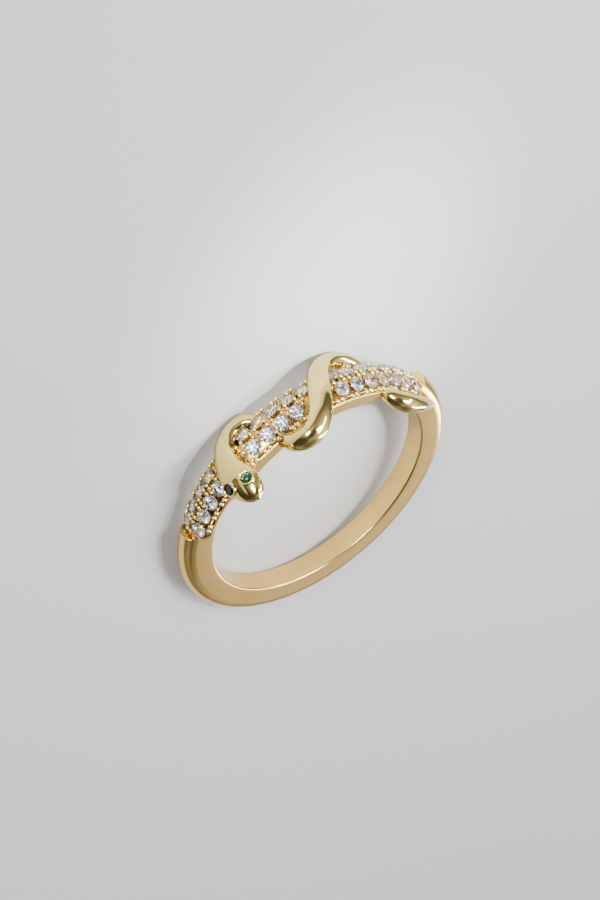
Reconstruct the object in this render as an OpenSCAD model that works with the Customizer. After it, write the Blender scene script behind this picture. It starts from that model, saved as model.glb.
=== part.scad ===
// Snake wrap ring: a half-round ring with a stone-set crown and a snake wound round the crown.
// Millimetres. It lies on its back side, as it rests by itself, with its front side up.
// The middle of the crown is towards -Y, and the snake's head towards +X.
// In the ring's own axes, angles count from the middle of the crown towards the head.

/* [Finger] */
// Diameter of the finger hole
bore_d = 17.3; // [15.7:0.1:20.6]

/* [Shank] */
// Width of the plain shank from front to back
shank_w = 1.65; // [1.4:0.05:2]
// Thickness of the shank from the finger hole to its crest
shank_t = 2.2; // [1.8:0.05:2.4]
// Height of the shank's flat sides above the finger hole
shank_side_h = 1.4; // [1.2:0.05:1.7]

/* [Crown] */
// Width of the stone-set crown from front to back
crown_w = 2.8; // [2.7:0.05:3.2]
// Thickness of the crown from the finger hole to the bed between its stones
crown_t = 1.53; // [1.4:0.01:1.65]
// Radius of the bed's arc from front to back
bed_arc_r = 1.77; // [1.6:0.01:2.2]
// Distance along the ring from the middle of a row's last stone to the end of the bed
bed_margin = 0.87; // [0.75:0.01:1.2]
// Radius of the bed's corners
bed_corner_r = 1; // [0.8:0.05:1.2]
// Width of the shank's lip round each end of the bed
lip_w = 0.1; // [0.06:0.02:0.2]
// Angle from the middle of the crown to where its inner edge starts to narrow
shoulder_start = 30; // [24:1:40]
// Angle from the middle of the crown to where its inner edge is as narrow as the shank
shoulder_end = 60; // [50:1:64]

/* [Stones] */
// Diameter of a clear stone
stone_d = 1.05; // [0.9:0.05:1.1]
// Angle from one stone to the next along a row
stone_pitch = 6.9; // [6.8:0.1:8]
// Number of places in each of the two rows, those under the snake included
row_places = 19; // [15:2:19]
// Distance between the two rows, measured between the middles of their tables
row_gap = 1.44; // [1.36:0.02:1.5]
// Height of a stone's table above the bed
table_h = 0.2; // [0.15:0.01:0.25]
// Gap between a stone and the metal round it
stone_clear = 0.03; // [0.02:0.01:0.05]
// How far outside the snake's body the middle of a stone has to lie for the stone to be set
stone_show = 0.12; // [0:0.02:0.4]

/* [Beads] */
// Diameter of a bead
bead_d = 0.34; // [0.28:0.02:0.36]
// Height of a bead above the bed
bead_h = 0.18; // [0.12:0.02:0.22]
// Distance between the two beads of a pair along a row, as a share of the stones' pitch
bead_spread = 0.34; // [0.3:0.02:0.4]
// Distance from the middle of the bed to the beads along its edges
bead_line = 1.2; // [1.15:0.01:1.25]

/* [Snake] */
// Full width of the snake's body
snake_w = 1.56; // [1.4:0.02:1.7]
// Full thickness of the snake's body
snake_t = 1.28; // [1.1:0.02:1.4]
// Diameter of an eye stone
eye_d = 0.8; // [0.7:0.05:0.85]
// Wall of the round bezel that holds an eye stone
bezel_wall = 0.12; // [0.06:0.01:0.14]
// Height of a bezel above the head
bezel_h = 0.12; // [0.06:0.02:0.16]

/* [Hidden] */
$fn = 96;

// One row for each section of the snake, from the snout to the tail's tip. Its columns are
// the angle round the ring, the distance to the front as a share of half the crown's width,
// the height over the bed as a share of the snake's thickness, and the section's width and
// thickness as shares of the body's.
snake_rows = [
    [31.6, 2.49, -0.18, 0.21, 0.22],
    [31.6, 2.39, -0.16, 0.67, 0.63],
    [31.6, 2.14, -0.12, 1.08, 0.88],
    [31.7, 1.79, -0.05, 1.36, 1.03],
    [32.0, 1.39, 0.03, 1.54, 1.13],
    [32.3, 1.00, 0.11, 1.51, 1.16],
    [32.2, 0.61, 0.17, 1.33, 1.09],
    [31.6, 0.18, 0.19, 1.13, 1.03],
    [30.4, -0.25, 0.14, 1.00, 0.97],
    [28.6, -0.64, 0.02, 0.96, 0.95],
    [26.2, -0.94, -0.16, 0.95, 0.94],
    [23.2, -1.11, -0.30, 0.94, 0.94],
    [19.9, -1.14, -0.41, 0.92, 0.92],
    [16.6, -1.04, -0.49, 0.87, 0.88],
    [13.8, -0.71, -0.57, 0.77, 0.75],
    [11.8, -0.14, -0.61, 0.64, 0.63],
    [10.6, 0.43, -0.61, 0.62, 0.63],
    [9.9, 0.96, -0.57, 0.71, 0.72],
    [8.4, 1.43, -0.44, 0.85, 0.88],
    [5.8, 1.75, -0.26, 0.95, 0.97],
    [2.4, 1.90, -0.10, 1.00, 1.00],
    [-1.6, 1.80, 0.02, 1.04, 1.00],
    [-5.2, 1.44, 0.13, 1.06, 1.00],
    [-8.2, 0.93, 0.20, 1.06, 1.00],
    [-10.8, 0.36, 0.25, 1.03, 1.00],
    [-13.4, -0.23, 0.20, 0.99, 0.98],
    [-16.2, -0.79, 0.05, 0.97, 0.97],
    [-20.0, -1.23, -0.16, 0.96, 0.95],
    [-24.6, -1.46, -0.33, 0.95, 0.94],
    [-29.6, -1.49, -0.44, 0.92, 0.91],
    [-34.6, -1.33, -0.52, 0.87, 0.84],
    [-38.6, -0.93, -0.58, 0.74, 0.72],
    [-40.8, -0.39, -0.61, 0.62, 0.63],
    [-41.8, 0.18, -0.62, 0.59, 0.63],
    [-42.6, 0.71, -0.64, 0.64, 0.72],
    [-44.2, 1.16, -0.66, 0.74, 0.88],
    [-47.4, 1.49, -0.66, 0.85, 0.97],
    [-51.8, 1.61, -0.64, 0.87, 0.97],
    [-57.0, 1.55, -0.60, 0.80, 0.87],
    [-62.6, 1.43, -0.54, 0.70, 0.75],
    [-68.8, 1.19, -0.44, 0.54, 0.60],
    [-75.4, 0.86, -0.28, 0.33, 0.42],
    [-82.0, 0.62, -0.09, 0.10, 0.15],
];
function angle_of(row) = row[0];
function front_of(row) = row[1] * crown_w / 2;
function lift_of(row) = row[2] * snake_t;
function half_width_of(row) = row[3] * snake_w / 2;
function half_thickness_of(row) = row[4] * snake_t / 2;
// Sections made from each row, and sides of a section
row_steps = 2;
section_sides = 16;
// Distance from the finger hole to the circle that the snake's underside faces
core_lift = 0.25;

// One row for each eye. Its columns are the place along snake_rows, where a whole number is
// a row, and the angle round the section there, where 90 is the top of the head.
RIGHT_EYE = [3.55, 56];
LEFT_EYE = [4.5, 126];
function place_of(eye) = eye[0];
function turn_of(eye) = eye[1];

// Proportions of a cut stone, as shares of its diameter
table_share = 0.56;
star_share = 0.8;
cut_top = 0.16;
cut_girdle = 0.03;
cut_bottom = 0.43;
lower_share = 0.25;
stone_facets = 8;

r_in = bore_d / 2;
r_crest = r_in + shank_t;
r_bed = r_in + crown_t;
crown_half = crown_w / 2;
long = 4 * r_crest;
// How far into the finger hole solids start before the hole is cut
spare = 0.2;
places = (row_places - 1) / 2;
row_lean = asin(row_gap / 2 / (bed_arc_r + table_h));
mm_per_degree = r_bed * PI / 180;
bed_half = places * stone_pitch + bed_margin / mm_per_degree;
corner_angle = bed_half - bed_corner_r / mm_per_degree;
// How far the arcs of the bed's corners would pass the crown's sides
corner_over = 0.03;

function unit(v) = v / norm(v);
// A point in the ring's own axes
function polar(a, r, z) = [r * sin(a), -r * cos(a), z];
// Radius of an arc from half its chord and its rise
function arc_radius(half, rise) = (half * half + rise * rise) / (2 * rise);
// Distance from an arc's middle to its chord
function chord_drop(r, half) = r - sqrt(r * r - half * half);
// Distance from the ring's axis to the bed, at a distance z from the bed's middle
function bed_r(z) = r_bed - chord_drop(bed_arc_r, z);

dome_r = arc_radius(shank_w / 2, shank_t - shank_side_h);
crown_side_h = crown_t - chord_drop(bed_arc_r, crown_half);

// A smooth curve from b to c, with a before them and d after
function between(a, b, c, d, t) =
    0.5 * (2 * b + (c - a) * t + (2 * a - 5 * b + 4 * c - d) * t * t
        + (3 * b - a - 3 * c + d) * t * t * t);

last_row = len(snake_rows) - 1;
function row_at(u) =
    let (i = min(floor(u), last_row - 1))
    between(
        snake_rows[max(i - 1, 0)], snake_rows[i], snake_rows[i + 1],
        snake_rows[min(i + 2, last_row)], u - i
    );
function half_wide(u) = half_width_of(row_at(u));
function half_thick(u) = half_thickness_of(row_at(u));

// The middle of the snake's section at u, and the point inside the band that it faces
function spine(u) =
    let (row = row_at(u)) polar(angle_of(row), r_bed + lift_of(row), front_of(row));
function core(u) = polar(angle_of(row_at(u)), r_in + core_lift, 0);

// The section's axes: along the snake, out of the band, and across the snake
function along(u) = unit(spine(min(u + 0.25, last_row)) - spine(max(u - 0.25, 0)));
function outward(u) =
    let (t = along(u), o = spine(u) - core(u)) unit(o - (o * t) * t);
function across(u) = cross(along(u), outward(u));

function skin(u, turn) =
    spine(u) + half_wide(u) * cos(turn) * across(u) + half_thick(u) * sin(turn) * outward(u);
function skin_normal(u, turn) =
    unit(cos(turn) / half_wide(u) * across(u) + sin(turn) / half_thick(u) * outward(u));

sections = [for (i = [0 : last_row * row_steps]) i / row_steps];
snake_points = [
    for (u = sections, j = [0 : section_sides - 1]) skin(u, 360 * j / section_sides)
];

// The stretches of the snake that rise above the bed, as a middle and a half width each
humps = [
    for (u = sections)
        if (lift_of(row_at(u)) + half_thick(u) > 0) [spine(u), half_wide(u)]
];
// Distance from a point to the snake's body, below zero inside it
function snake_gap(p) = min([for (h = humps) norm(p - h[0]) - h[1]]);

// Distance from a place on the bed to the bed's outline, below zero inside it
function bed_gap(a, z) =
    let (
        x = (abs(a) - bed_half) * mm_per_degree + bed_corner_r,
        y = abs(z) - crown_half + bed_corner_r
    ) norm([max(x, 0), max(y, 0)]) - bed_corner_r;

// The axis of the stone at place k in a row, and the middle of its table
function stone_axis(k, side) = polar(k * stone_pitch, cos(row_lean), side * sin(row_lean));
function stone_table(k, side) =
    polar(k * stone_pitch, r_bed - bed_arc_r, 0) + (bed_arc_r + table_h) * stone_axis(k, side);

// One row for each stone: its name, its place along the row, and its side of the bed
stones = [
    for (side = [1, -1], k = [-places : places])
        if (snake_gap(stone_table(k, side)) > stone_show)
            [str(side > 0 ? "stone_front_" : "stone_back_", k + places + 1), k, side]
];
function name_of(stone) = stone[0];

// The ring's rest: it lies on the lowest point of the snake on each side of the crown, and on
// the back edge of the shank.
function lowest(points, up) =
    let (heights = [for (p = points) p * up], least = min(heights))
    [for (i = [0 : len(points) - 1]) if (heights[i] == least) points[i]][0];
function shank_foot(up) =
    let (flat = unit([up[0], up[1] + (up[0] == 0 && up[1] == 0 ? -1 : 0), 0]))
    [0, 0, -shank_w / 2] - (r_in + shank_side_h) * flat;
function rest_up(up, tries) =
    tries == 0 ? up :
    let (
        head_side = lowest([for (p = snake_points) if (p[0] > 0) p], up),
        tail_side = lowest([for (p = snake_points) if (p[0] < 0) p], up),
        foot = shank_foot(up),
        n = unit(cross(head_side - foot, tail_side - foot))
    ) rest_up(n[2] < 0 ? -n : n, tries - 1);
up = rest_up([0, 0, 1], 4);

// The rest's rotation turns the ring's own axes only as far as its tilt
turn_axis = unit([up[1], -up[0], 0]);
tilt = acos(up[2]);
// How far the ring reaches in a direction given in the rested axes
function reach(d) =
    let (
        own = d * cos(tilt) - cross(turn_axis, d) * sin(tilt)
            + turn_axis * (turn_axis * d) * (1 - cos(tilt))
    ) max(
        (r_crest - dome_r) * norm([own[0], own[1]]) + dome_r,
        max([for (p = snake_points) p * own])
    );
rest_at = [
    (reach([-1, 0, 0]) - reach([1, 0, 0])) / 2,
    (reach([0, -1, 0]) - reach([0, 1, 0])) / 2,
    -shank_foot(up) * up,
];
module rest() {
    translate(rest_at) rotate(a = tilt, v = turn_axis) children();
}

// Places a child's +Z along a direction, with its origin at a point
module aim(point, direction) {
    z = unit(direction);
    x = unit(cross(abs(z[2]) > 0.9 ? [1, 0, 0] : [0, 0, 1], z));
    y = cross(z, x);
    multmatrix([
        [x[0], y[0], z[0], point[0]],
        [x[1], y[1], z[1], point[1]],
        [x[2], y[2], z[2], point[2]],
    ]) children();
}

// A band's section: flat sides, and an arc that rises over them
module band_profile(width, side_h, rise) {
    arc_r = arc_radius(width / 2, rise);
    translate([r_in - spare, -width / 2]) square([side_h + spare, width]);
    intersection() {
        translate([r_in, -width / 2]) square([side_h + rise, width]);
        translate([r_in + side_h + rise - arc_r, 0]) circle(r = arc_r);
    }
}

// A place on the bed's middle line, with +X along the ring and +Y to the front
module on_band(a) {
    aim([0, 0, 0], polar(a, 1, 0)) children();
}

// A stretch round the middle of the crown
module sector(half_angle) {
    rotate([0, 0, -90 - half_angle]) rotate_extrude(angle = 2 * half_angle) children();
}

// The rounded end of the bed, from where its corners start to turn
module bed_end(inset) {
    corner_r = bed_corner_r - inset;
    corner_y = crown_half + corner_over - bed_corner_r;
    translate([-corner_r, -corner_y]) square([2 * corner_r, 2 * corner_y]);
    for (side = [-1, 1]) translate([0, side * corner_y]) circle(r = corner_r);
}

module shank() {
    difference() {
        rotate_extrude() band_profile(shank_w, shank_side_h, shank_t - shank_side_h);
        sector(corner_angle) translate([0, -crown_half]) square([1.2 * r_crest, crown_w]);
        for (tail = [0, 1])
            mirror([tail, 0, 0]) on_band(corner_angle)
                linear_extrude(height = 1.2 * r_crest) bed_end(lip_w);
    }
}

// Cuts the crown's front side slanting back to the shank at its inner edge, on the head's side
module shoulder_cut() {
    start = polar(shoulder_start, r_in, crown_half);
    end = polar(shoulder_end, r_in, shank_w / 2);
    top = polar(corner_angle, r_in + crown_side_h, crown_half);
    n = unit(cross(top - start, end - start));
    u = unit(cross([cos(shoulder_start), sin(shoulder_start), 0], n));
    v = cross(n, u);
    multmatrix([
        [u[0], v[0], n[0], start[0]],
        [u[1], v[1], n[1], start[1]],
        [u[2], v[2], n[2], start[2]],
    ]) translate([-long / 2, 0, 0]) cube(long);
}

module crown() {
    difference() {
        sector(bed_half) band_profile(crown_w, crown_side_h, crown_t - crown_side_h);
        for (tail = [0, 1])
            mirror([tail, 0, 0]) on_band(corner_angle)
                linear_extrude(height = 1.2 * r_crest) difference() {
                    translate([0, -crown_w]) square([crown_w, 2 * crown_w]);
                    bed_end(0);
                }
        for (tail = [0, 1], back = [0, 1])
            mirror([tail, 0, 0]) mirror([0, 0, back]) shoulder_cut();
    }
}

// Pairs of beads between the stones, in three lines, wherever the snake leaves the bed bare
module beads() {
    for (k = [-places - 0.5 : places + 0.5], s = [-0.5, 0.5], z = [-bead_line, 0, bead_line]) {
        a = (k + s * bead_spread) * stone_pitch;
        foot = polar(a, bed_r(z), z);
        out = unit(foot - polar(a, r_bed - bed_arc_r, 0));
        if (bed_gap(a, z) < -bead_d / 2 && snake_gap(foot) > bead_d / 2)
            aim(foot - bead_h * out, out) cylinder(d = bead_d, h = 2 * bead_h);
    }
}

module snake() {
    n = section_sides;
    count = len(sections);
    polyhedron(
        concat(snake_points, [spine(0), spine(last_row)]),
        concat(
            [for (i = [0 : count - 2], j = [0 : n - 1]) each [
                [i * n + j, i * n + (j + 1) % n, (i + 1) * n + (j + 1) % n],
                [i * n + j, (i + 1) * n + (j + 1) % n, (i + 1) * n + j],
            ]],
            [for (j = [0 : n - 1]) [count * n, (j + 1) % n, j]],
            [for (j = [0 : n - 1])
                [count * n + 1, (count - 1) * n + j, (count - 1) * n + (j + 1) % n]]
        )
    );
}

// The solid collar of a bezel, from inside the head to its rim
module bezel(eye) {
    depth = 0.6 * eye_d;
    aim(skin(place_of(eye), turn_of(eye)), skin_normal(place_of(eye), turn_of(eye)))
        translate([0, 0, -depth]) cylinder(d = eye_d + 2 * bezel_wall, h = depth + bezel_h);
}

// A round brilliant-cut stone with its table's middle at the origin and its point down
module cut_stone(d) {
    n = stone_facets;
    step = 360 / n;
    r = d / 2;
    top = -cut_top * d;
    low = top - cut_girdle * d;
    star_r = star_share * r;
    star_z = top * (star_r * cos(step / 2) - table_share * r) / (r - table_share * r);
    lower_r = lower_share * r;
    lower_z = low - cut_bottom * d * (1 - lower_share * cos(step / 2));
    function at(radius, turn, z) = [radius * cos(turn), radius * sin(turn), z];
    points = concat(
        [for (i = [0 : n - 1]) at(table_share * r, i * step, 0)],
        [for (i = [0 : n - 1]) at(star_r, (i + 0.5) * step, star_z)],
        [for (i = [0 : 2 * n - 1]) at(r, i * step / 2, top)],
        [for (i = [0 : 2 * n - 1]) at(r, i * step / 2, low)],
        [for (i = [0 : n - 1]) at(lower_r, (i + 0.5) * step, lower_z)],
        [[0, 0, low - cut_bottom * d]]
    );
    // The first point of each ring of points
    star = n;
    upper = 2 * n;
    under = 4 * n;
    half = 6 * n;
    tip = 7 * n;
    polyhedron(points, concat(
        [[for (i = [n - 1 : -1 : 0]) i]],
        [for (i = [0 : n - 1]) [i, (i + 1) % n, star + i]],
        [for (i = [0 : n - 1]) [i, star + i, upper + 2 * i, star + (i + n - 1) % n]],
        [for (i = [0 : n - 1]) [star + i, upper + 2 * i + 1, upper + 2 * i]],
        [for (i = [0 : n - 1]) [star + i, upper + (2 * i + 2) % (2 * n), upper + 2 * i + 1]],
        [for (i = [0 : 2 * n - 1])
            [upper + i, upper + (i + 1) % (2 * n), under + (i + 1) % (2 * n), under + i]],
        [for (i = [0 : n - 1]) [half + i, under + 2 * i, under + 2 * i + 1]],
        [for (i = [0 : n - 1]) [half + i, under + 2 * i + 1, under + (2 * i + 2) % (2 * n)]],
        [for (i = [0 : n - 1]) [tip, half + (i + n - 1) % n, under + 2 * i, half + i]]
    ));
}

// The hollow that a cut stone sits in, open for a height above its table
module seat(d, open_h) {
    r = d / 2 + stone_clear;
    low = -(cut_top + cut_girdle) * d - stone_clear;
    bottom = low - cut_bottom * d;
    rotate_extrude()
        polygon([[0, bottom], [0.1 * r, bottom], [r, low], [r, open_h], [0, open_h]]);
}

module at_stone(stone) {
    k = stone[1];
    side = stone[2];
    aim(stone_table(k, side), stone_axis(k, side)) children();
}
// An eye's table is level with its bezel's rim
module at_eye(eye) {
    normal = skin_normal(place_of(eye), turn_of(eye));
    aim(skin(place_of(eye), turn_of(eye)) + bezel_h * normal, normal) children();
}

module ring() {
    color("gold") rest() difference() {
        union() {
            union() {
                shank();
                crown();
                beads();
            }
            snake();
            bezel(RIGHT_EYE);
            bezel(LEFT_EYE);
        }
        for (s = stones) at_stone(s) seat(stone_d, stone_clear);
        at_eye(RIGHT_EYE) seat(eye_d, bezel_h);
        at_eye(LEFT_EYE) seat(eye_d, bezel_h);
        cylinder(d = bore_d, h = long, center = true);
    }
}

module stone(s) {
    color("lavenderblush") rest() at_stone(s) cut_stone(stone_d);
}
module eye_right() {
    color("seagreen") rest() at_eye(RIGHT_EYE) cut_stone(eye_d);
}
module eye_left() {
    color("darkslategray") rest() at_eye(LEFT_EYE) cut_stone(eye_d);
}

ring();
eye_right();
eye_left();
for (s = stones)
    stone(s);
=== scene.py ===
# Snake wrap ring: a polished gold ring with a stone-set crown and a snake wound round the crown.
# Shapes are worked out in millimetres in the ring's own axes, and place() puts them at rest in metres.
import math

import bmesh
import bpy
import numpy as np
from mathutils import Matrix, Vector
from mathutils.geometry import delaunay_2d_cdt

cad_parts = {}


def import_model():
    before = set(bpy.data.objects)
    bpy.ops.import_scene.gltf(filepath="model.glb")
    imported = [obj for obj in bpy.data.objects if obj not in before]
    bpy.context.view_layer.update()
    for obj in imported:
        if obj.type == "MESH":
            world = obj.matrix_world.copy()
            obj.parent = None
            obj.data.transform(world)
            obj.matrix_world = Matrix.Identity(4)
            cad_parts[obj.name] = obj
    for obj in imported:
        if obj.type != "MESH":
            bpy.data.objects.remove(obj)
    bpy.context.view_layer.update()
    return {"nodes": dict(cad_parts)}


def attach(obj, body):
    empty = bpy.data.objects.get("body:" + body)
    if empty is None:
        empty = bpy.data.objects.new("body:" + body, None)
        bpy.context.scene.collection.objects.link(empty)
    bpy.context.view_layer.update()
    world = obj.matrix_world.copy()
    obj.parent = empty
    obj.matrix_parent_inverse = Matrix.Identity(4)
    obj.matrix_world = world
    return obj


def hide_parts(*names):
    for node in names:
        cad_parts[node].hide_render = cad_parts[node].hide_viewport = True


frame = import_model()

# Sizes, as in the part's source
R_IN = 8.65
SHANK_W, SHANK_T, SHANK_SIDE = 1.65, 2.2, 1.4
CROWN_W, CROWN_T, BED_ARC = 2.8, 1.53, 1.77
BED_MARGIN, BED_CORNER, LIP_W = 0.87, 1.0, 0.1
SHOULDER_START, SHOULDER_END = 30, 60
STONE_D, PITCH, PLACES, ROW_GAP = 1.05, 6.9, 9, 1.44
TABLE_H, CLEAR, STONE_SHOW = 0.2, 0.03, 0.12
BEAD_D, BEAD_SPREAD, BEAD_LINE = 0.34, 0.34, 1.2
SNAKE_W, SNAKE_T, CORE_LIFT = 1.56, 1.28, 0.25
EYE_D, BEZEL_WALL, BEZEL_H = 0.8, 0.12, 0.12
RIGHT_EYE, LEFT_EYE = (3.55, 56), (4.5, 126)
CUT_TOP, CUT_GIRDLE, CUT_BOTTOM = 0.16, 0.03, 0.43
R_CREST, R_BED = R_IN + SHANK_T, R_IN + CROWN_T
HALF = CROWN_W / 2
MM_PER_DEGREE = R_BED * math.pi / 180
BED_HALF = PLACES * PITCH + BED_MARGIN / MM_PER_DEGREE
CORNER_ANGLE = BED_HALF - BED_CORNER / MM_PER_DEGREE
ROW_LEAN = math.asin(ROW_GAP / 2 / (BED_ARC + TABLE_H))
# How far the arcs of the bed's corners would pass the crown's sides
CORNER_OVER = 0.03

# Sizes that only the meshes have
# The shank's rounded edges: inside the hoop, where its sides meet the dome, and at its ends
FOOT_SOFT, EDGE_DROP, EDGE_IN, LIP_SOFT = 0.13, 0.1, 0.07, 0.07
# Where the shank's end walls start over the hoop's inside, and their steps down to the bed
WALL_FROM, WALL_DROPS = 0.9, (0.2, 0.45, 0.75)
# The crown's rounded inner edge, how its sides curve in, and its inside's gap behind the shank's
CROWN_SOFT, SIDE_BULGE, INSIDE_GAP = 0.1, 1.15, 0.004
# How deep the bed lies under its rim, and the distances from its outline at which it starts and
# stops sinking
BED_SINK, SINK_FROM, SINK_TO = 0.18, 0.05, 0.22
# Width of a seat's foot as a share of its top, and heights over the table between which a seat
# meets the bed
SEAT_FOOT, SEAT_LOW, SEAT_HIGH = 0.1, -0.65, 0.2
# Columns of beads across the bed: distance from its middle, and size as a share of a full bead's
BEAD_COLUMNS = [(-BEAD_LINE, 1.0), (-0.15, 0.8), (0.15, 0.8), (BEAD_LINE, 1.0)]
# How far a bead reaches over and under its foot, and how far it keeps from the bed's outline
BEAD_TOP, BEAD_ROOT, BEAD_MARGIN = 0.25, 0.2, 0.15
# The polished line at the edge of the bed: its half thickness, its distance from the outline and
# its depth
RIM_R, RIM_INSET, RIM_DEPTH = 0.055, 0.045, 0.02
# How far each end of the snake is rounded out, and the row before which the head's lines end
END_DEPTH, HEAD_END = 0.09, 8
# An eye's bezel: its rounded edge, its flare, its root in the head, and the gap round the stone
BEZEL_SOFT, BEZEL_FLARE, BEZEL_ROOT, EYE_CLEAR = 0.035, 0.01, 0.45, 0.01
# The bevel inside the bezel's edge, and the depths at which its seat starts to narrow and ends
BEZEL_BEVEL, EYE_NARROW, EYE_FLOOR = (0.015, 0.02), 0.16, 0.42

# Steps and sides of the meshes
# Along the crown's side, round each of its corners and across each of its ends
SIDE_STEPS, CORNER_STEPS, END_STEPS = 259, 16, 8
# Round the shank, with finer steps over a share of its way at each end
SHANK_STEPS, SHANK_FINE_STEPS, FINE_SHARE = 240, 30, 0.1
# Of a seat, a bead and a bezel
SEAT_SIDES, SEAT_LEVELS, BEAD_SIDES, BEZEL_SIDES = 36, 7, 18, 48
# Of the snake, for each row of its table and round its section
ROW_STEPS, SECTION_SIDES = 9, 84
# Points of the bed between its seats: their pitch along and across it, where they start at its
# back, and how far they keep from its outline and from a seat
ALONG_PITCH, ACROSS_PITCH, ACROSS_FROM, OUTLINE_GAP, SEAT_GAP = 0.11, 0.09, 0.07, 0.05, 0.04
# How far inside a seat's edge a face's middle lies where the bed is left open
TOUCH = 0.002
# Metres within which points merge, and under which an edge is taken out
MERGE, SHORTEST = 2e-7, 1e-7

# The snake from snout to tail: angle round the ring, distance to the front as a share of half
# the crown's width, height over the bed as a share of its thickness, then width and thickness
# as shares of the body's
SNAKE_ROWS = np.array([
    [31.6, 2.49, -0.18, 0.21, 0.22], [31.6, 2.39, -0.16, 0.67, 0.63],
    [31.6, 2.14, -0.12, 1.08, 0.88], [31.7, 1.79, -0.05, 1.36, 1.03],
    [32.0, 1.39, 0.03, 1.54, 1.13], [32.3, 1.00, 0.11, 1.51, 1.16],
    [32.2, 0.61, 0.17, 1.33, 1.09], [31.6, 0.18, 0.19, 1.13, 1.03],
    [30.4, -0.25, 0.14, 1.00, 0.97], [28.6, -0.64, 0.02, 0.96, 0.95],
    [26.2, -0.94, -0.16, 0.95, 0.94], [23.2, -1.11, -0.30, 0.94, 0.94],
    [19.9, -1.14, -0.41, 0.92, 0.92], [16.6, -1.04, -0.49, 0.87, 0.88],
    [13.8, -0.71, -0.57, 0.77, 0.75], [11.8, -0.14, -0.61, 0.64, 0.63],
    [10.6, 0.43, -0.61, 0.62, 0.63], [9.9, 0.96, -0.57, 0.71, 0.72],
    [8.4, 1.43, -0.44, 0.85, 0.88], [5.8, 1.75, -0.26, 0.95, 0.97],
    [2.4, 1.90, -0.10, 1.00, 1.00], [-1.6, 1.80, 0.02, 1.04, 1.00],
    [-5.2, 1.44, 0.13, 1.06, 1.00], [-8.2, 0.93, 0.20, 1.06, 1.00],
    [-10.8, 0.36, 0.25, 1.03, 1.00], [-13.4, -0.23, 0.20, 0.99, 0.98],
    [-16.2, -0.79, 0.05, 0.97, 0.97], [-20.0, -1.23, -0.16, 0.96, 0.95],
    [-24.6, -1.46, -0.33, 0.95, 0.94], [-29.6, -1.49, -0.44, 0.92, 0.91],
    [-34.6, -1.33, -0.52, 0.87, 0.84], [-38.6, -0.93, -0.58, 0.74, 0.72],
    [-40.8, -0.39, -0.61, 0.62, 0.63], [-41.8, 0.18, -0.62, 0.59, 0.63],
    [-42.6, 0.71, -0.64, 0.64, 0.72], [-44.2, 1.16, -0.66, 0.74, 0.88],
    [-47.4, 1.49, -0.66, 0.85, 0.97], [-51.8, 1.61, -0.64, 0.87, 0.97],
    [-57.0, 1.55, -0.60, 0.80, 0.87], [-62.6, 1.43, -0.54, 0.70, 0.75],
    [-68.8, 1.19, -0.44, 0.54, 0.60], [-75.4, 0.86, -0.28, 0.33, 0.42],
    [-82.0, 0.62, -0.09, 0.10, 0.15],
])
LAST_ROW = len(SNAKE_ROWS) - 1

# A raised and a sunk line of the head: their two ends, each a place along the snake and a turn
# round its section in degrees, then height and half width
HEAD_LINES = [((5.2, 92), (2.6, 132), 0.05, 0.18), ((4.5, 80), (1.6, 118), -0.04, 0.13)]

# How the ring lies: the direction that is up, in its own axes, and where its middle comes
UP = np.array([-0.0653944, -0.0718533, 0.995269])
REST_AT = np.array([0.0, 0.0417949, 1.79752])
REST = np.array(Matrix.Rotation(math.acos(UP[2]), 3, Vector((UP[1], -UP[0], 0))))


def place(points):
    """Points of the ring's own axes at rest, in metres."""
    return (np.asarray(points, float).reshape(-1, 3) @ REST.T + REST_AT) / 1000


def unit(v):
    """The same direction with length 1."""
    v = np.asarray(v, float)
    return v / np.linalg.norm(v, axis=-1, keepdims=True)


def polar(a, r, z):
    """A point at an angle in degrees from the middle of the crown."""
    a, r, z = np.broadcast_arrays(np.radians(a), r, z)
    return np.stack([r * np.sin(a), -r * np.cos(a), z], -1)


def ease(x, low, high):
    """A smooth step from 0 at low to 1 at high."""
    t = np.clip((np.asarray(x, float) - low) / (high - low), 0, 1)
    return t * t * (3 - 2 * t)


def chord_drop(r, half):
    """Distance from an arc's middle to its chord."""
    return r - np.sqrt(r * r - np.asarray(half, float) ** 2)


def bed_r(z):
    """Distance from the ring's axis to the bed's arc, at a distance z from its middle."""
    return R_BED - chord_drop(BED_ARC, z)


def angle_of(points):
    """Degrees from the middle of the crown to each point."""
    return np.degrees(np.arctan2(points[:, 0], -points[:, 1]))


def round_axis(axis, sides):
    """Steps of one millimetre out from an axis, once round it."""
    x = unit(np.cross([1, 0, 0] if abs(axis[2]) > 0.9 else [0, 0, 1], axis))
    y = np.cross(axis, x)
    turn = np.linspace(0, 2 * np.pi, sides, endpoint=False)
    return np.cos(turn)[:, None] * x + np.sin(turn)[:, None] * y


# The snake's body
def row_at(u):
    """The table's values at a place along the snake, where a whole number is a row."""
    u = np.asarray(u, float)
    i = np.minimum(np.floor(u).astype(int), LAST_ROW - 1)
    t = (u - i)[..., None]
    a, b = SNAKE_ROWS[np.maximum(i - 1, 0)], SNAKE_ROWS[i]
    c, d = SNAKE_ROWS[i + 1], SNAKE_ROWS[np.minimum(i + 2, LAST_ROW)]
    return 0.5 * (2 * b + (c - a) * t + (2 * a - 5 * b + 4 * c - d) * t * t
                  + (3 * b - a - 3 * c + d) * t ** 3)


def spine(u):
    """The middle of the snake's section."""
    s = row_at(u)
    return polar(s[..., 0], R_BED + s[..., 2] * SNAKE_T, s[..., 1] * HALF)


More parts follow.
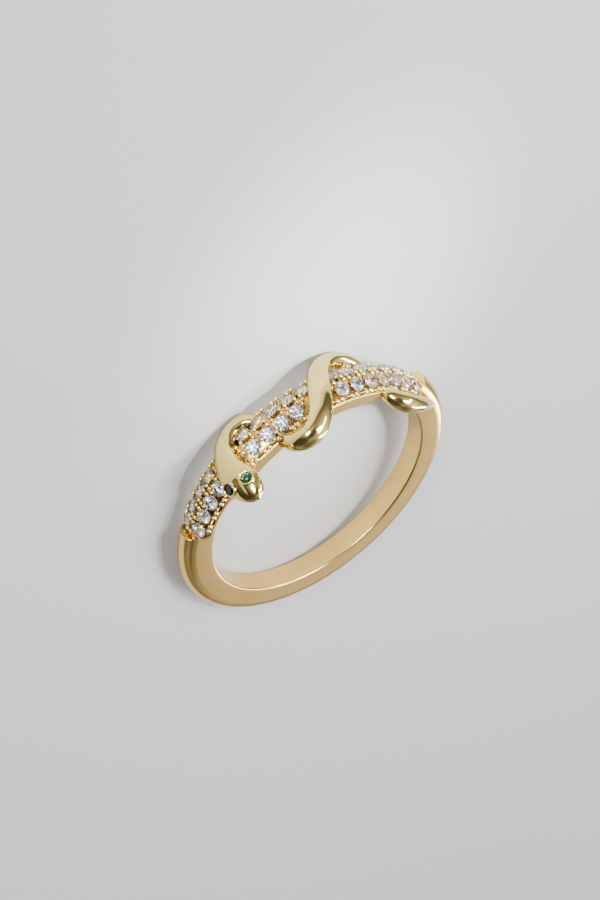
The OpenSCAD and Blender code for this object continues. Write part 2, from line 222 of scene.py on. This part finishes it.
def snake_axes(u):
    """The section's axes: along the snake, out of the band, and across the snake."""
    u = np.asarray(u, float)
    t = unit(spine(np.minimum(u + 0.25, LAST_ROW)) - spine(np.maximum(u - 0.25, 0)))
    o = spine(u) - polar(row_at(u)[..., 0], R_IN + CORE_LIFT, 0)
    o = unit(o - (o * t).sum(-1, keepdims=True) * t)
    return t, o, np.cross(t, o)


def skin(u, turn):
    """A point of the snake's skin and its normal, at a place along it and a turn in degrees."""
    s, (t, o, x) = row_at(u), snake_axes(u)
    wide, thick = s[..., 3:4] * SNAKE_W / 2, s[..., 4:5] * SNAKE_T / 2
    c, n = np.cos(np.radians(turn)), np.sin(np.radians(turn))
    c, n = np.asarray(c)[..., None], np.asarray(n)[..., None]
    return spine(u) + wide * c * x + thick * n * o, unit(c / wide * x + n / thick * o)


# The stretches of the snake that rise above the bed, as a middle and a half width each
HUMPS = [(spine(u), row_at(u)[3] * SNAKE_W / 2) for u in np.arange(0, LAST_ROW + 0.1, 0.5)
         if row_at(u)[2] + row_at(u)[4] / 2 > 0]


def snake_gap(p):
    """Distance from a point to the snake's body, below zero inside it."""
    return min(np.linalg.norm(p - h[0]) - h[1] for h in HUMPS)


def bed_gap(a, z):
    """Distance to the bed's outline, below zero inside it."""
    x = (np.abs(a) - BED_HALF) * MM_PER_DEGREE + BED_CORNER
    y = np.abs(z) - HALF + BED_CORNER
    return np.hypot(np.maximum(x, 0), np.maximum(y, 0)) - BED_CORNER


def sunk_r(a, z):
    """Distance from the ring's axis to the bed, which lies a little lower inside its rim."""
    return bed_r(z) - BED_SINK * ease(-bed_gap(a, z), SINK_FROM, SINK_TO)


def stone_axis(k, side):
    """The way out of the ring through the stone at place k in a row."""
    return polar(k * PITCH, math.cos(ROW_LEAN), side * math.sin(ROW_LEAN))


def stone_table(k, side):
    """The middle of that stone's table."""
    return polar(k * PITCH, R_BED - BED_ARC, 0) + (BED_ARC + TABLE_H) * stone_axis(k, side)


# The stones that the snake leaves free: the place in a row, and the side of the bed
STONES = [(k, side) for side in (1, -1) for k in range(-PLACES, PLACES + 1)
          if snake_gap(stone_table(k, side)) > STONE_SHOW]


# Meshes
class Shape:
    """Points and faces collected for one mesh."""

    def __init__(self):
        self.points, self.faces, self.count = [], [], 0

    def add(self, points, faces):
        points = np.asarray(points, float).reshape(-1, 3)
        self.faces += [tuple(self.count + i for i in f) for f in faces]
        self.points.append(points)
        self.count += len(points)

    def grid(self, points, round_rows=False, round_columns=False):
        """Quads over points[row][column]."""
        points = np.asarray(points, float)
        rows, columns = points.shape[:2]
        faces = []
        for i in range(rows if round_rows else rows - 1):
            n = (i + 1) % rows
            for j in range(columns if round_columns else columns - 1):
                m = (j + 1) % columns
                faces.append((i * columns + j, i * columns + m, n * columns + m, n * columns + j))
        self.add(points, faces)

    def lathe(self, base, axis, profile, sides):
        """A turned form: profile holds distances from the axis and heights along it."""
        ring = round_axis(axis, sides)
        self.grid([base + r * ring + h * axis for r, h in profile], round_columns=True)

    def piece(self, name, material, slot="gold", sharp=38):
        """Makes the mesh, with edges kept sharp past an angle in degrees."""
        mesh = bpy.data.meshes.new(name)
        mesh.from_pydata(place(np.concatenate(self.points)).tolist(), [], self.faces)
        bm = bmesh.new()
        bm.from_mesh(mesh)
        bmesh.ops.remove_doubles(bm, verts=bm.verts, dist=MERGE)
        bmesh.ops.dissolve_degenerate(bm, edges=bm.edges, dist=SHORTEST)
        bmesh.ops.recalc_face_normals(bm, faces=bm.faces)
        bm.to_mesh(mesh)
        bm.free()
        mesh.polygons.foreach_set("use_smooth", [True] * len(mesh.polygons))
        mesh.set_sharp_from_angle(angle=math.radians(sharp))
        mesh.materials.append(material)
        obj = bpy.data.objects.new(name, mesh)
        bpy.context.scene.collection.objects.link(obj)
        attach(obj, "root")
        return obj


# Materials
# The levels between which a noise's values mostly lie
NOISE_LOW, NOISE_HIGH = 0.3, 0.7
# Scales of the clouds in the gold, of fine marks, and of the change of the stones' painted reflections from
# facet to facet
CLOUD_SCALE, MARK_SCALE, FACET_SCALE = 420, 5000, 2.3
# Depth of the gold's unevenness in metres
BUMP_DEPTH = 0.00002
# Where a stone's three painted reflection colours lie in that noise
PAINTED_FACET_LEVELS = (0.35, 0.5, 0.65)


def new_material(name):
    material = bpy.data.materials.new(name)
    material.use_nodes = True
    nodes, links = material.node_tree.nodes, material.node_tree.links
    shader = nodes["Principled BSDF"]
    place_node = nodes.new("ShaderNodeTexCoord")
    return material, nodes, links, shader, place_node.outputs["Object"]


def noise(nodes, links, at, scale, detail):
    node = nodes.new("ShaderNodeTexNoise")
    node.inputs["Scale"].default_value = scale
    node.inputs["Detail"].default_value = detail
    links.new(at, node.inputs["Vector"])
    return node.outputs["Fac"]


def ramp(nodes, links, value, stops):
    node = nodes.new("ShaderNodeValToRGB")
    while len(node.color_ramp.elements) < len(stops):
        node.color_ramp.elements.new(0.5)
    for element, (at, colour) in zip(node.color_ramp.elements, stops):
        element.position = at
        element.color = (*colour, 1)
    links.new(value, node.inputs["Fac"])
    return node.outputs["Color"]


def spread(nodes, links, value, low, high):
    """Brings a noise's values between two others."""
    node = nodes.new("ShaderNodeMapRange")
    node.inputs["From Min"].default_value = NOISE_LOW
    node.inputs["From Max"].default_value = NOISE_HIGH
    node.inputs["To Min"].default_value = low
    node.inputs["To Max"].default_value = high
    links.new(value, node.inputs["Value"])
    return node.outputs["Result"]


def bump(nodes, links, value, shader, strength, distance):
    node = nodes.new("ShaderNodeBump")
    node.inputs["Strength"].default_value = strength
    node.inputs["Distance"].default_value = distance
    links.new(value, node.inputs["Height"])
    links.new(node.outputs["Normal"], shader.inputs["Normal"])


def gold(name, light, deep, rough, grain, lumps):
    """Polished gold with faint clouding, fine polishing marks and slow unevenness."""
    material, nodes, links, shader, at = new_material(name)
    shader.inputs["Metallic"].default_value = 1.0
    clouds = noise(nodes, links, at, CLOUD_SCALE, 2)
    tones = [(NOISE_LOW, deep), (NOISE_HIGH, light)]
    links.new(ramp(nodes, links, clouds, tones), shader.inputs["Base Color"])
    marks = noise(nodes, links, at, MARK_SCALE, 2)
    links.new(spread(nodes, links, marks, *rough), shader.inputs["Roughness"])
    uneven = noise(nodes, links, at, lumps, 3)
    bump(nodes, links, uneven, shader, grain, BUMP_DEPTH)
    return material


POLISHED = gold("polished_gold", (0.85, 0.67, 0.24), (0.77, 0.59, 0.18), (0.06, 0.09), 0.03, 700)
SHANK_GOLD = gold("shank_gold", (0.88, 0.60, 0.19), (0.82, 0.53, 0.15), (0.18, 0.22), 0.04, 600)
# The bed's gold is a darker, browner copy of the same gold: painted shade in the recess between the stones
# and beads.
PAINTED_SHADE_BED_GOLD = gold("painted_shade_set_gold", (0.76, 0.50, 0.16), (0.34, 0.18, 0.04), (0.12, 0.22), 0.6, 6000)
# The beads' gold is a lighter, yellower copy of the same gold: painted light on the raised beads.
PAINTED_LIGHT_BEAD_GOLD = gold("painted_light_bead_gold", (0.96, 0.83, 0.42), (0.92, 0.75, 0.32), (0.06, 0.12), 0.15, 5000)


def gem(name, painted_facet_colours, ior, rough):
    """A cut stone with painted reflections: its colour differs a little from facet to facet."""
    material, nodes, links, shader, at = new_material(name)
    shader.inputs["Transmission Weight"].default_value = 1.0
    shader.inputs["IOR"].default_value = ior
    facet = nodes.new("ShaderNodeNewGeometry").outputs["True Normal"]
    painted_facet_noise = noise(nodes, links, facet, FACET_SCALE, 1)
    stops = list(zip(PAINTED_FACET_LEVELS, painted_facet_colours))
    links.new(ramp(nodes, links, painted_facet_noise, stops), shader.inputs["Base Color"])
    wear = noise(nodes, links, at, MARK_SCALE, 2)
    links.new(spread(nodes, links, wear, *rough), shader.inputs["Roughness"])
    return material


# The clear stone's pink, white and lilac-grey facets are painted reflections and fire. The green stones'
# facets are their own green, made lighter and darker by painted reflections.
CLEAR_STONE = gem("clear_stone", [(0.97, 0.90, 0.95), (0.98, 0.98, 1.0), (0.88, 0.86, 0.93)],
                  2.15, (0.0, 0.03))
GREEN_STONE = gem("green_stone", [(0.005, 0.06, 0.057), (0.03, 0.20, 0.185), (0.01, 0.055, 0.035)],
                  1.6, (0.0, 0.04))
# The left eye's stone is the same green stone made near black: painted shade and dark reflection.
PAINTED_SHADE_GREEN_STONE = gem("dark_green_stone", [(0.001, 0.006, 0.005), (0.004, 0.03, 0.02), (0.001, 0.01, 0.004)],
                 1.5, (0.0, 0.04))


# The plain shank, from one end of the bed round the back to the other
DOME_R = ((SHANK_W / 2) ** 2 + (SHANK_T - SHANK_SIDE) ** 2) / (2 * (SHANK_T - SHANK_SIDE))


def shank_profile():
    """Distances from the ring's axis and from its middle plane, over the outside from back to front."""
    half = SHANK_W / 2
    turn = np.radians(np.linspace(0, 90, 7))
    foot = np.stack([R_IN + FOOT_SOFT * (1 - np.cos(turn)),
                     -half + FOOT_SOFT * (1 - np.sin(turn))], -1)
    wall_top = R_IN + SHANK_SIDE - EDGE_DROP
    z = np.linspace(-half + EDGE_IN, 0, 15)
    dome = np.stack([R_CREST - chord_drop(DOME_R, z), z], -1)
    corner = np.array([R_IN + SHANK_SIDE, -half])
    t = np.linspace(0, 1, 7)[1:-1, None]
    edge = (1 - t) ** 2 * [wall_top, -half] + 2 * t * (1 - t) * corner + t ** 2 * dome[0]
    back = np.concatenate([foot, [[(R_IN + wall_top) / 2, -half], [wall_top, -half]], edge, dome])
    return np.concatenate([back, back[-2::-1] * [1, -1]])


def lip_at(z, inset):
    """How far past the start of its corners the bed's end lies, on the arc's side of z."""
    corner, middle = BED_CORNER - inset, HALF + CORNER_OVER - BED_CORNER
    return np.sqrt(corner ** 2 - np.maximum(np.abs(z) - middle, 0) ** 2)


def shank():
    """The half-round shank, the inside of its hoop, and its walls at the ends of the bed."""
    shape = Shape()
    profile = shank_profile()
    r, z = profile[:, 0], profile[:, 1]
    start = CORNER_ANGLE + lip_at(z, LIP_W) / MM_PER_DEGREE
    shift = LIP_SOFT / MM_PER_DEGREE
    rows = []
    share = np.concatenate([np.linspace(0, FINE_SHARE, SHANK_FINE_STEPS)[:-1],
                            np.linspace(FINE_SHARE, 1 - FINE_SHARE, SHANK_STEPS),
                            np.linspace(1 - FINE_SHARE, 1, SHANK_FINE_STEPS)[1:]])
    for t in share:
        a = start + shift + t * (360 - 2 * (start + shift))
        rows.append(polar(a, r, z))
    shape.grid(rows)
    # The inside of the hoop, and at each end the rounded lip and the wall down to the bed
    shape.grid([[row[-1], row[0]] for row in rows])
    outer = r > R_IN + WALL_FROM
    for mirror in (1, -1):
        wall = []
        for turn in np.radians(np.linspace(90, 0, 6)):
            around = start + shift * (1 - np.cos(turn))
            wall.append(polar(mirror * around, r - LIP_SOFT * (1 - np.sin(turn)), z)[outer])
        for drop in WALL_DROPS:
            wall.append(polar(mirror * start, r - LIP_SOFT - drop, z)[outer])
        shape.grid(wall)
    return shape.piece("shank", SHANK_GOLD)


# The crown, with a seat for each stone
def outline_points():
    """The bed's outline as arc length and distance to the front, once round."""
    straight = CORNER_ANGLE * MM_PER_DEGREE
    middle = HALF - BED_CORNER
    along = np.linspace(-straight, straight, SIDE_STEPS + 1)[:-1]
    turn = np.radians(np.linspace(90, 0, CORNER_STEPS + 1))[:-1]
    front = np.stack([along, np.full(len(along), HALF)], -1)
    corner = np.stack([straight + BED_CORNER * np.cos(turn), middle + BED_CORNER * np.sin(turn)], -1)
    across = np.linspace(middle, -middle, END_STEPS + 1)[:-1]
    end = np.stack([np.full(END_STEPS, straight + BED_CORNER), across], -1)
    half = np.concatenate([front, corner, end])
    turn = turn[::-1]
    low = np.stack([straight + BED_CORNER * np.cos(turn), -middle - BED_CORNER * np.sin(turn)], -1)
    half = np.concatenate([half, low])
    return np.concatenate([half, -half])


def seat_radius(t):
    """The seat's radius at a height over the stone's table."""
    full = STONE_D / 2 + CLEAR
    low = -(CUT_TOP + CUT_GIRDLE) * STONE_D - CLEAR
    depth = CUT_BOTTOM * STONE_D
    share = SEAT_FOOT + (1 - SEAT_FOOT) * (t - low + depth) / depth
    return full * np.clip(share, SEAT_FOOT, 1)


def seat_rings(k, side):
    """Rings of points down a seat, the first on the bed's surface."""
    top, axis = stone_table(k, side), stone_axis(k, side)
    ring = round_axis(axis, SEAT_SIDES)
    # The bed's surface is found by halving the stretch of height that it lies in
    low, high = np.full(SEAT_SIDES, SEAT_LOW), np.full(SEAT_SIDES, SEAT_HIGH)
    for _ in range(30):
        mid = (low + high) / 2
        p = top + seat_radius(mid)[:, None] * ring + mid[:, None] * axis
        above = np.hypot(p[:, 0], p[:, 1]) > sunk_r(angle_of(p), p[:, 2])
        high, low = np.where(above, mid, high), np.where(above, low, mid)
    bottom = -(CUT_TOP + CUT_GIRDLE + CUT_BOTTOM) * STONE_D - CLEAR
    rings = []
    for f in np.linspace(0, 1, SEAT_LEVELS):
        t = mid + f * (bottom - mid)
        rings.append(top + seat_radius(t)[:, None] * ring + t[:, None] * axis)
    return rings


def crown_bed():
    """The bed between the stones, with their seats."""
    shape = Shape()
    outline = outline_points()
    seats = [seat_rings(k, side) for k, side in STONES]
    rims = []
    for rings in seats:
        p = rings[0]
        rims.append(np.stack([angle_of(p) * MM_PER_DEGREE, p[:, 2]], -1))
    points, edges = [outline], [(i, (i + 1) % len(outline)) for i in range(len(outline))]
    count = len(outline)
    for rim in rims:
        points.append(rim)
        edges += [(count + i, count + (i + 1) % len(rim)) for i in range(len(rim))]
        count += len(rim)
    centres = np.array([rim.mean(0) for rim in rims])
    reach = np.array([np.linalg.norm(rim - rim.mean(0), axis=1).max() for rim in rims])
    length = BED_HALF * MM_PER_DEGREE
    inside = [
        (s, z) for s in np.arange(-length, length, ALONG_PITCH)
        for z in np.arange(-HALF + ACROSS_FROM, HALF, ACROSS_PITCH)
        if bed_gap(s / MM_PER_DEGREE, z) < -OUTLINE_GAP
        and (np.hypot(*(centres - (s, z)).T) > reach + SEAT_GAP).all()
    ]
    points = np.concatenate(points + [np.array(inside)])
    found, _, faces, *_ = delaunay_2d_cdt([Vector(p) for p in points], edges, [], 0, 1e-6)
    found = np.array([tuple(v) for v in found])
    kept = []
    for f in faces:
        s, z = found[list(f)].mean(0)
        near = int(np.argmin(np.hypot(*(centres - (s, z)).T)))
        rim = rims[near] - centres[near]
        turn = math.atan2(z - centres[near][1], s - centres[near][0])
        angles = np.arctan2(rim[:, 1], rim[:, 0])
        order = np.argsort(angles)
        edge = np.interp(turn, angles[order], np.hypot(*rim[order].T), period=2 * np.pi)
        if math.hypot(s - centres[near][0], z - centres[near][1]) < edge - TOUCH:
            continue
        if bed_gap(s / MM_PER_DEGREE, z) < 0:
            kept.append(f)
    around = found[:, 0] / MM_PER_DEGREE
    shape.add(polar(around, sunk_r(around, found[:, 1]), found[:, 1]), kept)
    for rings in seats:
        shape.grid(rings, round_columns=True)
    # The bed gets the darkened gold, painted shade between the stones.
    return shape.piece("crown_bed", PAINTED_SHADE_BED_GOLD)


def crown():
    """The sides, narrowing at their inner edge towards the shank, and the inside of the hoop."""
    shape = Shape()
    outline = outline_points()
    a, z = outline[:, 0] / MM_PER_DEGREE, outline[:, 1]
    narrow = HALF + (SHANK_W / 2 - HALF) * ease(np.abs(a), SHOULDER_START, SHOULDER_END)
    foot = np.sign(z) * np.minimum(np.abs(z), narrow)
    columns = []
    for t in np.linspace(0, 1, 9):
        level = bed_r(z) + (R_IN + CROWN_SOFT - bed_r(z)) * t
        columns.append(polar(a, level, z + (foot - z) * t ** SIDE_BULGE))
    for turn in np.radians((30, 60, 90)):
        pull = np.sign(z) * np.minimum(np.abs(foot), CROWN_SOFT * (1 - math.cos(turn)))
        columns.append(polar(a, R_IN + CROWN_SOFT * (1 - math.sin(turn)), foot - pull))
    shape.grid(columns, round_columns=True)
    # The inside of the hoop, run on just behind the ends of the shank's
    inner = columns[-1].copy()
    inner[np.abs(a) > CORNER_ANGLE, :2] *= 1 + INSIDE_GAP / R_IN
    front = np.concatenate([inner[-CORNER_STEPS:], inner[:SIDE_STEPS + CORNER_STEPS + 1]])
    shape.grid([front, front * [1, 1, -1]])
    return shape.piece("crown", SHANK_GOLD)


def beads():
    """Round-topped beads between the stones, in pairs."""
    shape = Shape()
    arc = np.radians(np.linspace(90, 0, 7))
    for k in np.arange(-PLACES - 0.5, PLACES + 1):
        for s in (-0.5, 0.5):
            for z, size in BEAD_COLUMNS:
                a = (k + s * BEAD_SPREAD) * PITCH
                foot = polar(a, bed_r(z), z)
                out = unit(foot - polar(a, R_BED - BED_ARC, 0))
                r = size * BEAD_D / 2
                if bed_gap(a, z) < -BEAD_MARGIN and snake_gap(foot) > r:
                    dome = [(r * math.cos(t) + 1e-4, BEAD_TOP - r + r * math.sin(t)) for t in arc]
                    shape.lathe(foot, out, dome + [(0.9 * r, -BEAD_ROOT)], BEAD_SIDES)
    # The beads get the lightened gold, painted light on their tops.
    return shape.piece("beads", PAINTED_LIGHT_BEAD_GOLD, sharp=60)


def rim():
    """The polished line round the edge of the bed."""
    shape = Shape()
    outline = outline_points()
    a, z = outline[:, 0] / MM_PER_DEGREE, outline[:, 1] * (1 - RIM_INSET / HALF)
    middle = polar(a, bed_r(z) - RIM_DEPTH, z)
    along = unit(np.roll(middle, -1, 0) - np.roll(middle, 1, 0))
    out = unit(middle - polar(a, R_BED - BED_ARC, 0))
    out = unit(out - (out * along).sum(-1, keepdims=True) * along)
    over = np.cross(along, out)
    turn = np.linspace(0, 2 * np.pi, 10, endpoint=False)
    shape.grid([m + RIM_R * (np.cos(turn)[:, None] * o + np.sin(turn)[:, None] * c)
                for m, o, c in zip(middle, out, over)], round_rows=True, round_columns=True)
    return shape.piece("crown_rim", POLISHED)


def relief(points):
    """How far the head's raised and sunk lines lift each point."""
    lift = np.zeros(len(points))
    for start, end, height, half in HEAD_LINES:
        t = np.linspace(0, 1, 25)
        line = skin(start[0] + (end[0] - start[0]) * t, start[1] + (end[1] - start[1]) * t)[0]
        gap = np.linalg.norm(points[:, None] - line[None], axis=2)
        fade = np.minimum(1, 4 * np.minimum(t, 1 - t) + 0.2)
        lift += height * (fade * np.exp(-(gap / half) ** 2)).max(1)
    return lift


def snake():
    """The snake's body from snout to tail, rounded out at both ends."""
    shape = Shape()
    turn = np.linspace(0, 360, SECTION_SIDES, endpoint=False)
    rows = []
    for u in np.linspace(0, LAST_ROW, LAST_ROW * ROW_STEPS + 1):
        row, normal = skin(np.full(SECTION_SIDES, u), turn)
        if u < HEAD_END:
            row = row + relief(row)[:, None] * normal
        rows.append(row)
    ends = []
    for u, step in ((0.0, -1), (float(LAST_ROW), 1)):
        p, (t, _, _) = skin(np.full(SECTION_SIDES, u), turn)[0], snake_axes(u)
        middle = spine(u)
        ends.append([middle + (p - middle) * math.cos(b) + step * t * END_DEPTH * math.sin(b)
                     for b in np.radians((25, 50, 72, 89.9))])
    shape.grid(ends[0][::-1] + rows + ends[1], round_columns=True)
    return shape.piece("snake", POLISHED, sharp=60)


def bezel(name, eye):
    """The round collar of an eye, with the seat inside it."""
    shape = Shape()
    base, axis = skin(*eye)
    r, wall = EYE_D / 2, BEZEL_WALL
    profile = [(r + wall + 2 * BEZEL_FLARE, -BEZEL_ROOT), (r + wall + BEZEL_FLARE, 0.0)]
    for turn in np.radians(np.linspace(0, 90, 6)):
        profile.append((r + wall - BEZEL_SOFT * (1 - math.cos(turn)),
                        BEZEL_H - BEZEL_SOFT * (1 - math.sin(turn))))
    profile += [(r + BEZEL_SOFT, BEZEL_H), (r + BEZEL_BEVEL[0], BEZEL_H - BEZEL_BEVEL[1]),
                (r + EYE_CLEAR, 0.0), (r + EYE_CLEAR, -EYE_NARROW), (0.3 * r, -EYE_FLOOR),
                (0.001, -EYE_FLOOR)]
    shape.lathe(base, axis, profile, BEZEL_SIDES)
    return shape.piece(name, POLISHED, sharp=30)


for piece in (shank(), crown(), crown_bed()):
    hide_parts("ring")
beads()
rim()
snake()
bezel("bezel_right", RIGHT_EYE)
bezel("bezel_left", LEFT_EYE)

for name, node in frame["nodes"].items():
    if name == "ring":
        continue
    # The left eye gets the near-black copy of the green stone, painted shade.
    material = {"eye_right": GREEN_STONE, "eye_left": PAINTED_SHADE_GREEN_STONE}.get(name, CLEAR_STONE)
    node.data.materials.clear()
    node.data.materials.append(material)


# The floor, the light and the camera
# Half the floor's side in metres, its roughness, and the scale of its faint clouds
FLOOR_HALF, FLOOR_ROUGH, FLOOR_SCALE = 3.0, 0.7, 8


def floor():
    mesh = bpy.data.meshes.new("floor")
    half = FLOOR_HALF
    corners = [(-half, -half, 0), (half, -half, 0), (half, half, 0), (-half, half, 0)]
    mesh.from_pydata(corners, [], [(0, 1, 2, 3)])
    material, nodes, links, shader, at = new_material("floor")
    shader.inputs["Roughness"].default_value = FLOOR_ROUGH
    tone = noise(nodes, links, at, FLOOR_SCALE, 2)
    tones = [(NOISE_LOW, (0.46, 0.46, 0.475)), (NOISE_HIGH, (0.49, 0.49, 0.50))]
    links.new(ramp(nodes, links, tone, tones), shader.inputs["Base Color"])
    mesh.materials.append(material)
    obj = bpy.data.objects.new("floor", mesh)
    bpy.context.scene.collection.objects.link(obj)


def direction(around, height):
    """The way to a place in the surroundings, from its degrees round +Z and over the floor."""
    a, h = math.radians(around), math.radians(height)
    return Vector((math.cos(h) * math.cos(a), math.cos(h) * math.sin(a), math.sin(h)))


def hang(name, data, at, way, distance):
    """Puts a lamp at a distance from a point, facing it."""
    obj = bpy.data.objects.new(name, data)
    obj.location = Vector(at) + distance * way
    obj.rotation_mode = "QUATERNION"
    obj.rotation_quaternion = (-way).to_track_quat("-Z", "Y")
    bpy.context.scene.collection.objects.link(obj)


def area_light(name, around, height, distance, size, watts, colour=(1, 1, 1)):
    """A soft window, facing the ring."""
    data = bpy.data.lights.new(name, "AREA")
    data.shape = "RECTANGLE"
    data.size, data.size_y = size
    data.energy = watts
    data.color = colour
    hang(name, data, (0, 0, 0), direction(around, height), distance)


def floor_lamp(name, around, height, distance, at, cone, watts):
    """A soft round pool of light on the floor."""
    data = bpy.data.lights.new(name, "SPOT")
    data.spot_size = math.radians(cone)
    data.spot_blend = 1.0
    data.shadow_soft_size = 0.006
    data.energy = watts
    hang(name, data, (*at, 0), direction(around, height), distance)


def shade(nodes, links, colour, way, toward, inner, outer, amount):
    """Adds or takes light in the surroundings within some degrees of one direction."""
    dot = nodes.new("ShaderNodeVectorMath")
    dot.operation = "DOT_PRODUCT"
    links.new(way, dot.inputs[0])
    dot.inputs[1].default_value = direction(*toward)
    edge = nodes.new("ShaderNodeMapRange")
    edge.interpolation_type = "SMOOTHSTEP"
    edge.inputs["From Min"].default_value = math.cos(math.radians(outer))
    edge.inputs["From Max"].default_value = math.cos(math.radians(inner))
    edge.inputs["To Min"].default_value = 1
    edge.inputs["To Max"].default_value = amount
    links.new(dot.outputs["Value"], edge.inputs["Value"])
    scale = nodes.new("ShaderNodeVectorMath")
    scale.operation = "SCALE"
    links.new(colour, scale.inputs[0])
    links.new(edge.outputs["Result"], scale.inputs["Scale"])
    return scale.outputs["Vector"]


# The surroundings' tone from a little under the horizon to straight above
SKY = [(0.0, (0.34, 0.33, 0.32)), (0.17, (0.14, 0.13, 0.12)), (0.27, (0.22, 0.21, 0.20)),
       (0.42, (0.42, 0.41, 0.40)), (0.8, (0.48, 0.48, 0.49)), (1.0, (0.52, 0.52, 0.54))]
# Soft windows and dark places in the surroundings: the way to each, the degrees from there at
# which it starts and stops fading, and how many times as bright it is
GLOWS = [((-172, 50), 8, 44, 2.3), ((-68, 28), 8, 34, 2.3), ((118, 32), 8, 44, 2.3)]
SHADES = [((-8, 32), 18, 48, 0.20), ((-85, 58), 14, 30, 0.20), ((72, 46), 14, 32, 0.35)]


def world():
    """Plain surroundings, with the soft windows and dark places in them."""
    made = bpy.data.worlds.new("studio")
    made.use_nodes = True
    nodes, links = made.node_tree.nodes, made.node_tree.links
    back = nodes["Background"]
    way = nodes.new("ShaderNodeTexCoord").outputs["Generated"]
    split = nodes.new("ShaderNodeSeparateXYZ")
    links.new(way, split.inputs["Vector"])
    tone = nodes.new("ShaderNodeMapRange")
    tone.inputs["From Min"].default_value = -0.2
    tone.inputs["From Max"].default_value = 1.0
    links.new(split.outputs["Z"], tone.inputs["Value"])
    colour = ramp(nodes, links, tone.outputs["Result"], SKY)
    for toward, inner, outer, amount in GLOWS + SHADES:
        colour = shade(nodes, links, colour, way, toward, inner, outer, amount)
    links.new(colour, back.inputs["Color"])
    back.inputs["Strength"].default_value = 1.0
    bpy.context.scene.world = made


# The photograph's camera: its lean from the ring's axis and its roll in radians, the angle round
# the ring towards which it leans in degrees, and its distance in millimetres
LEAN, ROLL, TURN, DISTANCE = 1.0468, -0.8535, 14, 152.9
# Its focal length, the picture's height, and how far right of the picture's middle and below it
# the ring's middle lies, all in pixels
FOCAL, PICTURE_H, OFFSET = 2232.0, 900, (12.5, 37.5)
# Width of the sensor in millimetres
SENSOR_W = 36


def camera():
    """The photograph's view of the ring, with its distance and roll."""
    toward = np.array([math.sin(LEAN), 0, math.cos(LEAN)])
    axis = np.array([0, 0, 1.0]) - toward[2] * toward
    axis /= np.linalg.norm(axis)
    other = np.cross(toward, axis)
    right = math.cos(ROLL) * axis - math.sin(ROLL) * other
    up = math.sin(ROLL) * axis + math.cos(ROLL) * other
    turn = math.radians(TURN)
    own = np.array([[math.sin(turn), math.cos(turn), 0], [-math.cos(turn), math.sin(turn), 0], [0, 0, 1.0]])
    toward, right, up = own @ toward, own @ right, own @ up
    look = unit(-toward * FOCAL - OFFSET[0] * right + OFFSET[1] * up)
    right = unit(right - (right @ look) * look)
    up = np.cross(right, look)
    turned = REST @ np.stack([right, up, -look], -1)
    data = bpy.data.cameras.new("camera")
    data.sensor_width = SENSOR_W
    data.lens = FOCAL / PICTURE_H * SENSOR_W
    data.clip_start, data.clip_end = 0.01, 20
    obj = bpy.data.objects.new("camera", data)
    at = Vector(place(DISTANCE * toward)[0])
    obj.matrix_world = Matrix.Translation(at) @ Matrix(turned.tolist()).to_4x4()
    bpy.context.scene.collection.objects.link(obj)
    bpy.context.scene.camera = obj


floor()
area_light("front_window", -68, 27, 0.35, (0.11, 0.12), 1.3)
area_light("left_window", -172, 50, 0.40, (0.07, 0.34), 1.2)
area_light("back_window", 122, 30, 0.40, (0.06, 0.36), 1.2)
area_light("near_lamp", -150, 58, 0.10, (0.03, 0.03), 0.10, (1.0, 0.98, 0.94))
floor_lamp("pool_lamp", -130, 62, 0.12, (-0.006, -0.012), 16, 1.3)
world()
camera()
